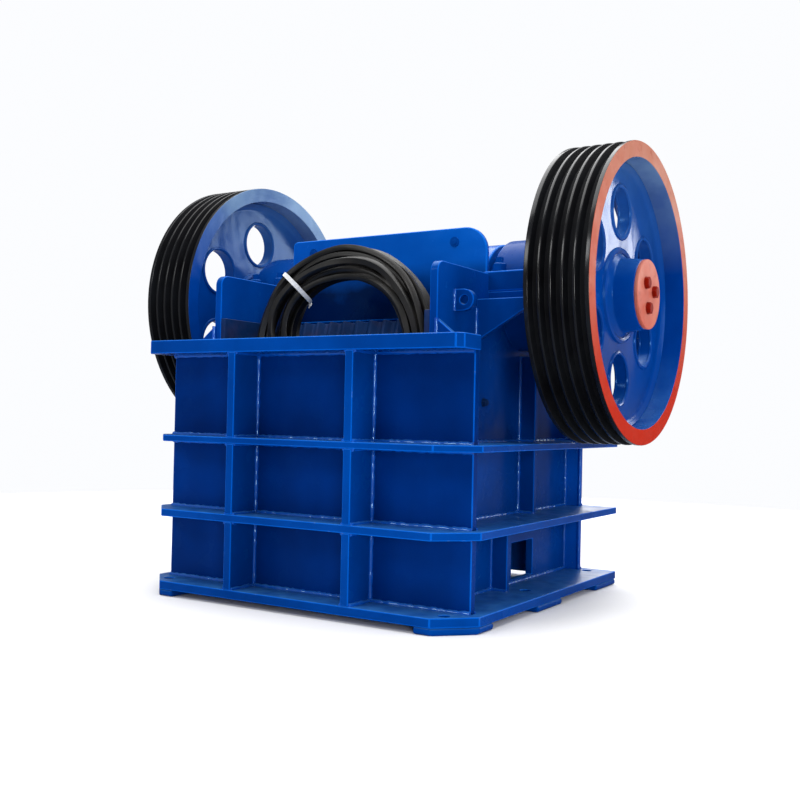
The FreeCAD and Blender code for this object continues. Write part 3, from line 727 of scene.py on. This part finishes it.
class Fasteners:
    """Sets rows and rings of bolts on a body."""

    def __init__(self, shop: Workshop) -> None:
        """Build the tree that all of them share."""
        self.shop = shop
        self.tree = fastener_tree()

    def set(self, name: str, body: str, kind: Fastener, finish: Finish, slot: str,
            spots: Sequence[Seat], seed: int) -> None:
        """Set bolts.

        Args:
            name: the piece's name.
            body: the body that they ride on.
            kind: their sizes.
            finish: their finish.
            slot: the record's material slot.
            spots: each bolt's seat and the way it points.
            seed: start of the heads' random turns.
        """
        mesh = bpy.data.meshes.new(name)
        mesh.from_pydata([spot for spot, _ in spots], [], [])
        facing = mesh.attributes.new("facing", "FLOAT_VECTOR", "POINT")
        for entry, (_, way) in zip(facing.data, spots):
            entry.vector = way
        item = piece(name, mesh, [])
        values = dict(zip(BOLT_SIZES, astuple(kind)), Seed=seed, Material=finish.material)
        rework(item, "NODES", values, node_group=self.tree)
        smooth(item.data, 30.0)
        self.shop.mount(item, body, slot)


class Welds:
    """Collects seams and lays beads along them."""

    pitch = 1.15
    ripple = 0.2

    def __init__(self, shop: Workshop) -> None:
        """Build the tree that lays the beads."""
        self.shop, self.tree = shop, weld_tree()
        self.seams: List[Seat] = []

    def seam(self, start: Point, end: Point) -> None:
        """Note one straight seam."""
        self.seams.append((start, end))

    def both(self, start: Point, end: Point) -> None:
        """Note a seam and its copy on the other side."""
        self.seam(start, end)
        self.seam((-start[0], start[1], start[2]), (-end[0], end[1], end[2]))

    def posts(self, face: float, places: Iterable[float], low: float, high: float) -> None:
        """Note upright seams at places along Y, and their copies."""
        for place in places:
            self.both((face, place, low), (face, place, high))

    def lay(self, name: str, radius: float, seed: int) -> None:
        """Lay painted beads along the seams noted so far.

        Args:
            name: the piece's name.
            radius: the bead's radius, in metres.
            seed: start of the random ripple.
        """
        mesh = bpy.data.meshes.new(name)
        spots = [spot for line in self.seams for spot in line]
        mesh.from_pydata(spots, [(2 * index, 2 * index + 1) for index in range(len(self.seams))], [])
        item = piece(name, mesh, [])
        rework(item, "NODES", {
            "Bead Radius": radius, "Ripple Pitch": radius * self.pitch, "Ripple Depth": self.ripple, "Seed": seed,
            "Material": WELD_BLUE.material}, node_group=self.tree)
        self.seams = []
        self.shop.mount(item, "frame", "blue_paint")


# ---- sub-assemblies


@dataclass
class Assembly:
    """A group of pieces."""

    shop: Workshop
    bolts: Fasteners

    def build(self) -> None:
        """Make the pieces."""
        raise NotImplementedError


@dataclass
class WeldedFrame(Assembly):
    """Walls, shelves, ribs, base and their welds."""

    edge: float = 0.0035
    bead: float = 0.0085
    thin_share: float = 0.85
    pad_edge: float = 0.008
    side_share: float = 0.9
    side_rib: float = 0.022
    seat_rise: float = 0.065
    seat_foot: float = 0.01
    lip_inset: float = 0.004

    def build(self) -> None:
        """Round the plates, then lay the beads."""
        for node in ("top_flange", "upper_shelf", "lower_shelf", "base_flange"):
            self.shop.soften(node, PAINTED, self.edge)
        # The front wall's bays take the darker blue as painted shade.
        self.shop.soften("front_wall", [PANEL_BLUE_PAINTED_SHADE, BLUE_EDGE_HIGHLIGHT], self.edge)
        # The back wall's front-facing faces take the lighter edge blue: painted light on that side.
        self.shop.soften("back_wall", PAINTED, self.edge, choose=lambda spot, way: int(way.y < -0.9))
        self.shop.soften("foot_pads", [BLUE], self.pad_edge)
        for node in ("front_rib", "side_plate", "side_ribs", "cheek_gusset", "lifting_lug"):
            for side in Side:
                self.shop.soften(f"{node}_{side.label}", PAINTED, self.edge * self.thin_share)
        self.weld()

    def levels(self) -> List[Pair]:
        """The bays between base, shelves and top flange.

        Returns:
            Each bay's bottom and top.
        """
        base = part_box("base_flange")[1].z
        low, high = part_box("lower_shelf"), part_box("upper_shelf")
        return [(base, low[0].z), (low[1].z, high[0].z), (high[1].z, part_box("top_flange")[0].z)]

    def weld(self) -> None:
        """Beads along the front bays, the side bays and the back."""
        welds = Welds(self.shop)
        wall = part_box("front_wall")
        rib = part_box("front_rib_right")
        front = wall[0].y
        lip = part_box("top_flange")[0].y + self.lip_inset
        rows = self.levels()
        runs = ((rib[1].x, wall[1].x), (-rib[0].x, rib[0].x), (-wall[1].x, -rib[1].x))
        for low, high in rows:
            for start, end in runs:
                for level in (low, high):
                    welds.seam((start, front, level), (end, front, level))
            for face in (rib[0].x, rib[1].x):
                welds.posts(face, [front], low, high)
                for level in (low, high):
                    welds.both((face, lip, level), (face, front, level))
        welds.lay("front_welds", self.bead, 3)

        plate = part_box("side_plate_right")
        face, start, end = plate[1].x, wall[1].y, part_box("back_wall")[0].y
        ribs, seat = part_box("side_ribs_right"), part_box("bearing_seat_right")
        for row, (low, high) in enumerate(rows):
            place = ribs[0].y if row == 0 else ribs[1].y - self.side_rib
            ceiling = high if row < 2 else ribs[1].z
            for level in (low, high)[:2 if row < 2 else 1]:
                welds.both((face, start, level), (face, end, level))
                welds.both((face, place, level), (ribs[1].x, place, level))
            welds.posts(face, (start, end), low, high)
            welds.posts(face, (place, place + self.side_rib), low, ceiling)
            welds.both((wall[1].x, start, low), (face, start, low))
        level = seat[1].z - self.seat_rise
        welds.both((face, seat[0].y, level), (face, seat[1].y, level))
        welds.posts(face, (seat[0].y, seat[1].y), seat[0].z + self.seat_foot, level)
        gusset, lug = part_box("cheek_gusset_right"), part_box("lifting_lug_right")
        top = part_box("top_flange")[1].z
        welds.posts(face, [gusset[0].y], top, gusset[1].z)
        welds.posts(face, (lug[0].y, lug[1].y), lug[0].z, lug[1].z)
        welds.lay("side_welds", self.bead * self.side_share, 7)

        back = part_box("back_wall")
        for level in sorted({level for row in rows for level in row})[:-1]:
            welds.seam((-back[1].x, back[1].y, level), (back[1].x, back[1].y, level))
        for low, high in rows:
            welds.posts(back[1].x, [back[0].y], low, high)
        welds.lay("back_welds", self.bead * self.side_share, 9)


@dataclass
class Bearings(Assembly):
    """Bearing seats, caps and covers with their bolts."""

    cap_bolt: Fastener = Fastener(0.044, 0.024, 0.056, 0.005, 0.028, 0.044)
    cover_bolt: Fastener = Fastener(0.019, 0.008, 0.024, 0.0015, 0.01, 0.006)
    cap_rows: Pair = (0.062, 0.235)
    cap_ear: float = 0.072
    cover_circle: float = 0.147
    cover_bolts: int = 8

    def build(self) -> None:
        """Dress both sides."""
        for side in Side:
            tag, sign = side.label, side.value
            self.shop.soften(f"bearing_seat_{tag}", PAINTED)
            self.shop.soften(f"bearing_cap_{tag}", [CAP_BLUE, BLUE_EDGE_HIGHLIGHT], 0.006)
            self.shop.soften(f"bearing_cover_{tag}", PAINTED)
            self.shop.coat(f"bearing_{tag}", TURNED_STEEL)
            cap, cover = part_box(f"bearing_cap_{tag}"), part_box(f"bearing_cover_{tag}")
            middle = (cap[0] + cap[1]) / 2
            row, reach = self.cap_rows
            spots = [((middle.x + across, middle.y + along, cap[0].z + self.cap_ear), (0, 0, 1))
                     for across in (-row, row) for along in (-reach, reach)]
            self.bolts.set(f"cap_bolts_{tag}", "frame", self.cap_bolt, BLUE, "blue_paint", spots, 5)
            face = cover[1].x if sign > 0 else cover[0].x
            hub = (cover[0] + cover[1]) / 2
            turns = (tau * (index + 0.5) / self.cover_bolts for index in range(self.cover_bolts))
            ring = around(face, hub, self.cover_circle, turns, sign)
            self.bolts.set(f"cover_bolts_{tag}", "frame", self.cover_bolt, BLUE, "blue_paint", ring, 11)


@dataclass
class Wheels(Assembly):
    """Grooved wheels with their webs and end covers."""

    holes: int = 6
    hole_circle: float = 0.289
    hole_radius: float = 0.086
    lip: float = 0.007
    web_face: float = 0.0195
    hub_step: Pair = (0.155, 0.012)
    groove_reach: float = 0.03
    land: float = 0.003
    end_circle: float = 0.05
    end_turns: Tuple[float, ...] = (15, 135, 255)
    cover_bolt: Fastener = Fastener(0.036, 0.013, 0.042, 0.002, 0.02, 0.004)

    def build(self) -> None:
        """Dress both sides."""
        for side in Side:
            self.dress(side)
        self.shop.coat("eccentric_shaft", TURNED_STEEL)

    def dress(self, side: Side) -> None:
        """Finish one wheel.

        Args:
            side: the wheel's side.
        """
        tag, sign = side.label, side.value
        low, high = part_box(f"wheel_rim_{tag}")
        hub = (low + high) / 2
        radius = (high.z - low.z) / 2

        def rim_coat(spot: Vector, normal: Vector) -> int:
            """Gloss black lands, dull black grooves, primer on the outer face, else blue.

            Args:
                spot: a face's centre.
                normal: its normal.

            Returns:
                The finish's number.
            """
            reach = hypot(spot.y - hub.y, spot.z - hub.z)
            if reach > radius - self.groove_reach and abs(normal.x) < 0.99:
                return 0 if reach > radius - self.land and abs(normal.x) < 0.3 else 3
            return 1 if normal.x * sign > 0.99 else 2

        self.shop.soften(f"wheel_rim_{tag}", [BLACK, PRIMER, RIM_BLUE, GROOVE_BLACK], 0.0025, "rotor", rim_coat)

        def lips(form: Form) -> None:
            """Add a lip round each hole and a step round the hub, on both faces.

            Args:
                form: where they go.
            """
            faces = (-self.web_face, self.web_face)
            for index in range(self.holes):
                turn = radians(90 + 360 / self.holes * index)
                place = (hub.y + self.hole_circle * cos(turn), hub.z + self.hole_circle * sin(turn))
                for face in faces:
                    self.ring(form, (hub.x + face, *place), self.hole_radius + self.lip * 0.8, self.lip, 40)
            for face in faces:
                self.ring(form, (hub.x + face, hub.y, hub.z), *self.hub_step, 56)

        def web_coat(spot: Vector, normal: Vector) -> int:
            """Primer on the hub's machined end, blue elsewhere."""
            return int(normal.x * sign > 0.93 and (spot.x - hub.x) * sign > self.web_face + 0.01)

        self.shop.soften(f"wheel_web_{tag}", [WEB_BLUE, HUB_PRIMER], 0.004, "rotor", web_coat, lips)
        self.shop.soften(f"end_cover_{tag}", [HUB_PRIMER], body="rotor")
        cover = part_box(f"end_cover_{tag}")
        face = cover[1].x if sign > 0 else cover[0].x
        spots = around(face, hub, self.end_circle, map(radians, self.end_turns), sign)
        self.bolts.set(f"end_bolts_{tag}", "rotor", self.cover_bolt, RED_BOLT, "primer", spots, 2)

    def ring(self, form: Form, middle: Point, major: float, minor: float, steps: int) -> None:
        """Add a round ring that lies across the shaft.

        Args:
            form: where the faces go.
            middle: the ring's middle.
            major: its radius.
            minor: its thickness from the middle.
            steps: how many flats go round it.
        """
        stations = []
        for index in range(steps):
            turn = tau * index / steps
            out = Vector((0, cos(turn), sin(turn)))
            stations.append((Vector(middle) + out * major, Vector((1, 0, 0)), out))
        fresh = len(form.faces)
        sweep(form, stations, round_bar(minor, 8), closed=True)
        form.faces.ensure_lookup_table()
        bmesh.ops.recalc_face_normals(form, faces=form.faces[fresh:])


@dataclass
class Jaw(Assembly):
    """The swing jaw with its head guard and die."""

    plug: Fastener = Fastener(0.02, 0.002, 0.036, 0.0025, 0.01, 0.001)
    plug_insets: Pair = (0.1, 0.13)
    plug_drop: float = 0.05

    def build(self) -> None:
        """Round the castings and set the guard's plugs."""
        self.shop.soften("swing_jaw", [HEAD_BLUE, HEAD_EDGE_HIGHLIGHT], 0.006, "jaw")
        self.shop.soften("head_guard", [GUARD_BLUE, HEAD_EDGE_HIGHLIGHT], 0.005, "jaw")
        self.shop.soften("swing_jaw_die", [DIE_NAVY_AND_SHADE], body="jaw")
        low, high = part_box("head_guard")
        spots = [((across, low.y, high.z - self.plug_drop), (0, -1, 0))
                 for across in (low.x + self.plug_insets[0], high.x - self.plug_insets[1])]
        self.bolts.set("guard_plugs", "jaw", self.plug, BLUE, "head_paint", spots, 4)


@dataclass
class Chamber(Assembly):
    """Fixed die, cheek liners, toggle, adjusting gear and tension spring."""

    stud: Fastener = Fastener(0.046, 0.036, 0.06, 0.005, 0.03, 0.07)
    liner_nut: Fastener = Fastener(0.022, 0.012, 0.03, 0.003, 0.014, 0.015)
    nut_places: Tuple[Pair, ...] = ((-0.15, 0.695), (-0.38, 0.695), (-0.38, 0.42))
    stud_rows: Pair = (0.3, 0.05)
    turns: float = 6.5
    wire: float = 0.0085

    def build(self) -> None:
        """Dress each piece."""
        self.shop.soften("fixed_jaw_die", [DIE_NAVY_AND_SHADE])
        for side in Side:
            self.shop.soften(f"cheek_liner_{side.label}", [DIE_NAVY_AND_SHADE])
            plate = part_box(f"side_plate_{side.label}")
            face = plate[1].x if side is Side.RIGHT else plate[0].x
            nuts = [((face, place, level), (side.value, 0, 0)) for place, level in self.nut_places]
            # The liner nuts take the dark die finish, as painted shade where small dark holes show.
            self.bolts.set(f"liner_nuts_{side.label}", "frame", self.liner_nut, DIE_NAVY_AND_SHADE, "machined_steel", nuts, 13)
        self.shop.soften("toggle_plate", PAINTED, body="toggle")
        self.shop.soften("adjusting_seat", PAINTED, 0.004)
        self.shop.soften("shim_pack", [TURNED_STEEL], 0.002)
        self.shop.soften("tension_rod", [TURNED_STEEL], 0.0025)
        self.spring()
        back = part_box("back_wall")
        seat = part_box("adjusting_seat")
        level = (seat[0].z + seat[1].z) / 2
        reach, row = self.stud_rows
        spots = [((across, back[1].y, level + rise), (0, 1, 0)) for across in (-reach, reach) for rise in (-row, row)]
        self.bolts.set("adjusting_studs", "frame", self.stud, BOLT_STEEL, "machined_steel", spots, 9)

    def spring(self) -> None:
        """Wind the coil spring in the place of its plain sleeve."""
        low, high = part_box("tension_spring")
        middle = (low + high) / 2
        radius = (high.z - low.z) / 2 - self.wire
        start, end = low.y + self.wire, high.y - self.wire
        steps = int(self.turns * 28)
        stations = []
        for index in range(steps + 1):
            part = index / steps
            turn = tau * self.turns * part
            out = Vector((cos(turn), 0, sin(turn)))
            spot = Vector((middle.x, start + (end - start) * part, middle.z)) + out * radius
            stations.append((spot, out, Vector((0, 1, 0))))
        form = bmesh.new()
        sweep(form, stations, round_bar(self.wire, 10), closed=False)
        self.shop.wind("tension_spring_coil", form, 50, SPRING_STEEL, "spring_steel", "tension_spring")


@dataclass
class BeltCoil(Assembly):
    """A bundle of closed belts laid in a ring, held by a white tape."""

    strands: int = 13
    outer_strands: int = 8
    width: float = 0.030
    thick: float = 0.018
    steps: int = 144
    fan: float = 0.06
    tie_turn: float = 131.0
    tie_slant: Pair = (0.42, 0.16)
    tape: Pair = (0.008, 0.0025)
    tail: float = 0.07
    knot: float = 0.011

    def build(self) -> None:
        """Wind the strands and tie them."""
        low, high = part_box("belt_coil")
        self.centre = (low + high) / 2
        self.bundle = (high.y - low.y) / 2
        self.radius = (high.z - low.z) / 2 - self.bundle
        form = bmesh.new()
        for number in range(self.strands):
            self.strand(form, number)
        self.shop.wind("spare_belts", form, 40, RUBBER, "belt_rubber", "belt_coil")
        self.tie()

    def spot(self, turn: float, across: float, out: float) -> Tuple[Vector, Vector]:
        """A place in the ring, by its turn from +X to +Z and its offset in the bundle, and the way outwards."""
        way = Vector((cos(turn), 0, sin(turn)))
        return self.centre + way * (self.radius + out) + Vector((0, across, 0)), way

    def strand(self, form: Form, number: int) -> None:
        """Wind one belt, wandering in its bundle.

        Args:
            form: where the faces go.
            number: the belt's number, outermost first.
        """
        if number < self.outer_strands:
            reach, share = self.bundle - self.width * 0.56, number / self.outer_strands
        else:
            reach = self.bundle * 0.4
            share = (number - self.outer_strands) / (self.strands - self.outer_strands)
        start = tau * share
        stations = []
        for index in range(self.steps):
            turn = tau * index / self.steps
            drift = noise.noise(Vector((cos(turn) * 1.3, sin(turn) * 1.3, number * 3.7)))
            swell = noise.noise(Vector((cos(turn) * 1.1 + 9, sin(turn) * 1.1, number * 2.3)))
            angle = start + 0.5 * drift + 0.3 * sin(turn + number)
            near = reach * (1 - 0.16 * abs(swell))
            loose = self.fan * exp(-((turn - radians(192)) / 0.62) ** 2) * (0.5 - 0.5 * sin(angle))
            place, way = self.spot(turn, near * cos(angle), near * sin(angle) - loose)
            lean = angle - pi / 2 + 0.5 * swell
            side = Vector((0, 1, 0))
            across, up = side * cos(lean) - way * sin(lean), way * cos(lean) + side * sin(lean)
            stations.append((place, across, up))
        half, tall = self.width / 2, self.thick / 2
        section = [(-half * 0.94, tall), (half * 0.94, tall), (half, tall * 0.7), (half * 0.72, -tall * 0.8),
                   (half * 0.6, -tall), (-half * 0.6, -tall), (-half * 0.72, -tall * 0.8), (-half, tall * 0.7)]
        sweep(form, stations, section, closed=True)

    def tie(self) -> None:
        """Wrap the tape aslant round the bundle and knot its ends behind."""
        turn = radians(self.tie_turn)
        reach = self.bundle + 0.001
        centre, way = self.spot(turn, 0.0, 0.0)
        along = Vector((-sin(turn), 0, cos(turn)))
        side = Vector((0, 1, 0))
        form = bmesh.new()
        stations = []
        for index in range(40):
            angle = tau * index / 40
            out = side * cos(angle) + way * sin(angle)
            slide = self.tie_slant[0] * cos(angle) + self.tie_slant[1] * sin(angle)
            stations.append((centre + (out + along * slide) * reach, along, out))
        half, thick = self.tape
        section = [(-half, 0.0), (half, 0.0), (half, thick), (-half, thick)]
        sweep(form, stations, section, closed=True)
        knot = centre + (side + along * self.tie_slant[0]) * (reach + 0.004)
        for lean in (-0.5, 0.35):
            stations = []
            for index in range(9):
                part = index / 8
                spot = knot + (along * sin(lean) - Vector((0, 0, 1)) * cos(lean)) * self.tail * part
                stations.append((spot + side * (0.012 * sin(pi * part)), along, side))
            sweep(form, stations, section, closed=False)
        made = bmesh.ops.create_icosphere(form, subdivisions=2, radius=self.knot)
        bmesh.ops.translate(form, verts=made["verts"], vec=knot)
        self.shop.wind("belt_tie", form, 50, CLOTH, "belt_rubber")


# ---- stage


@dataclass(frozen=True)
class Viewpoint:
    """The camera's place in metres and turn in degrees."""

    place: Point = (2.0329, -3.2198, 0.6443)
    yaw: float = 31.824
    pitch: float = 0.893
    roll: float = 1.2
    lens: float = 45.65

    def build(self) -> None:
        """Make the camera."""
        yaw, pitch, roll = (radians(value) for value in (self.yaw, self.pitch, self.roll))
        ahead = Vector((-sin(yaw) * cos(pitch), cos(yaw) * cos(pitch), sin(pitch)))
        right = Vector((cos(yaw), sin(yaw), 0))
        above = right.cross(ahead)
        across = right * cos(roll) + above * sin(roll)
        upright = above * cos(roll) - right * sin(roll)
        data = bpy.data.cameras.new("camera")
        data.lens, data.sensor_width = self.lens, 36.0
        camera = bpy.data.objects.new("camera", data)
        bpy.context.scene.collection.objects.link(camera)
        turned = Matrix((across, upright, -ahead)).transposed().to_4x4()
        camera.matrix_world = Matrix.Translation(Vector(self.place)) @ turned
        bpy.context.scene.camera = camera


@dataclass(frozen=True)
class SoftBox:
    """An area light aimed at the machine."""

    name: str
    place: Point
    size: Pair
    power: float
    aim: Point = (0.0, 0.0, 0.7)

    def build(self) -> None:
        """Make the light."""
        data = bpy.data.lights.new(self.name, "AREA")
        data.shape, data.size, data.size_y, data.energy = "RECTANGLE", *self.size, self.power
        lamp = bpy.data.objects.new(self.name, data)
        lamp.location = self.place
        lamp.rotation_euler = (Vector(self.aim) - Vector(self.place)).to_track_quat("-Z", "Y").to_euler()
        bpy.context.scene.collection.objects.link(lamp)


LIGHTS = (
    SoftBox("key", (-1.6, -4.8, 3.6), (2.4, 1.4), 90),
    SoftBox("front", (3.9, -4.8, 1.2), (1.4, 1.2), 95),
    SoftBox("fill", (5.2, -0.2, 2.4), (1.2, 2.0), 68),
    SoftBox("window", (2.6, 4.4, 2.2), (0.9, 0.9), 18),
    SoftBox("top", (0.0, 0.6, 6.2), (8.0, 8.0), 800),
    SoftBox("back", (-2.2, 5.4, 1.8), (5.0, 1.2), 150),
)


@dataclass(frozen=True)
class Studio:
    """Pale round floor, pale surroundings and soft lights."""

    floor: float = 4.8
    sky: float = 0.3
    mirrored_sky: float = 0.32

    def build(self) -> None:
        """Make the floor, the surroundings and the lights."""
        form = bmesh.new()
        bmesh.ops.create_circle(form, cap_ends=True, segments=96, radius=self.floor)
        mesh = bpy.data.meshes.new("floor")
        form.to_mesh(mesh)
        form.free()
        mesh.transform(Matrix.Translation((0, 0, -0.0005)))
        piece("floor", mesh, [PaleFloor()])
        world = bpy.data.worlds.new("surroundings")
        world.use_nodes = True
        sheet = NodeSheet(world.node_tree)
        path = world.node_tree.nodes.new("ShaderNodeLightPath").outputs
        shown = sheet.add("ShaderNodeMapRange", {0: path["Is Camera Ray"], 3: self.sky, 4: 1.0})
        dimmed = sheet.sum("MULTIPLY", path["Is Glossy Ray"], self.sky - self.mirrored_sky)
        strength = sheet.sum("SUBTRACT", shown, dimmed)
        background = world.node_tree.nodes["Background"]
        background.inputs[0].default_value = (0.97, 0.98, 1.0, 1)
        world.node_tree.links.new(strength, background.inputs[1])
        bpy.context.scene.world = world
        for box in LIGHTS:
            box.build()
        bpy.context.scene.view_settings.view_transform = "Standard"


def main() -> None:
    """Build every sub-assembly."""
    logging.basicConfig(level=logging.INFO, format="%(message)s")
    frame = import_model()
    Viewpoint().build()
    Studio().build()
    shop = Workshop(frame)
    bolts = Fasteners(shop)
    for kind in (WeldedFrame, Bearings, Wheels, Jaw, Chamber, BeltCoil):
        LOG.info("%s", kind.__name__)
        kind(shop, bolts).build()
    LOG.info("%d pieces", shop.count)


if __name__ == "__main__":
    main()
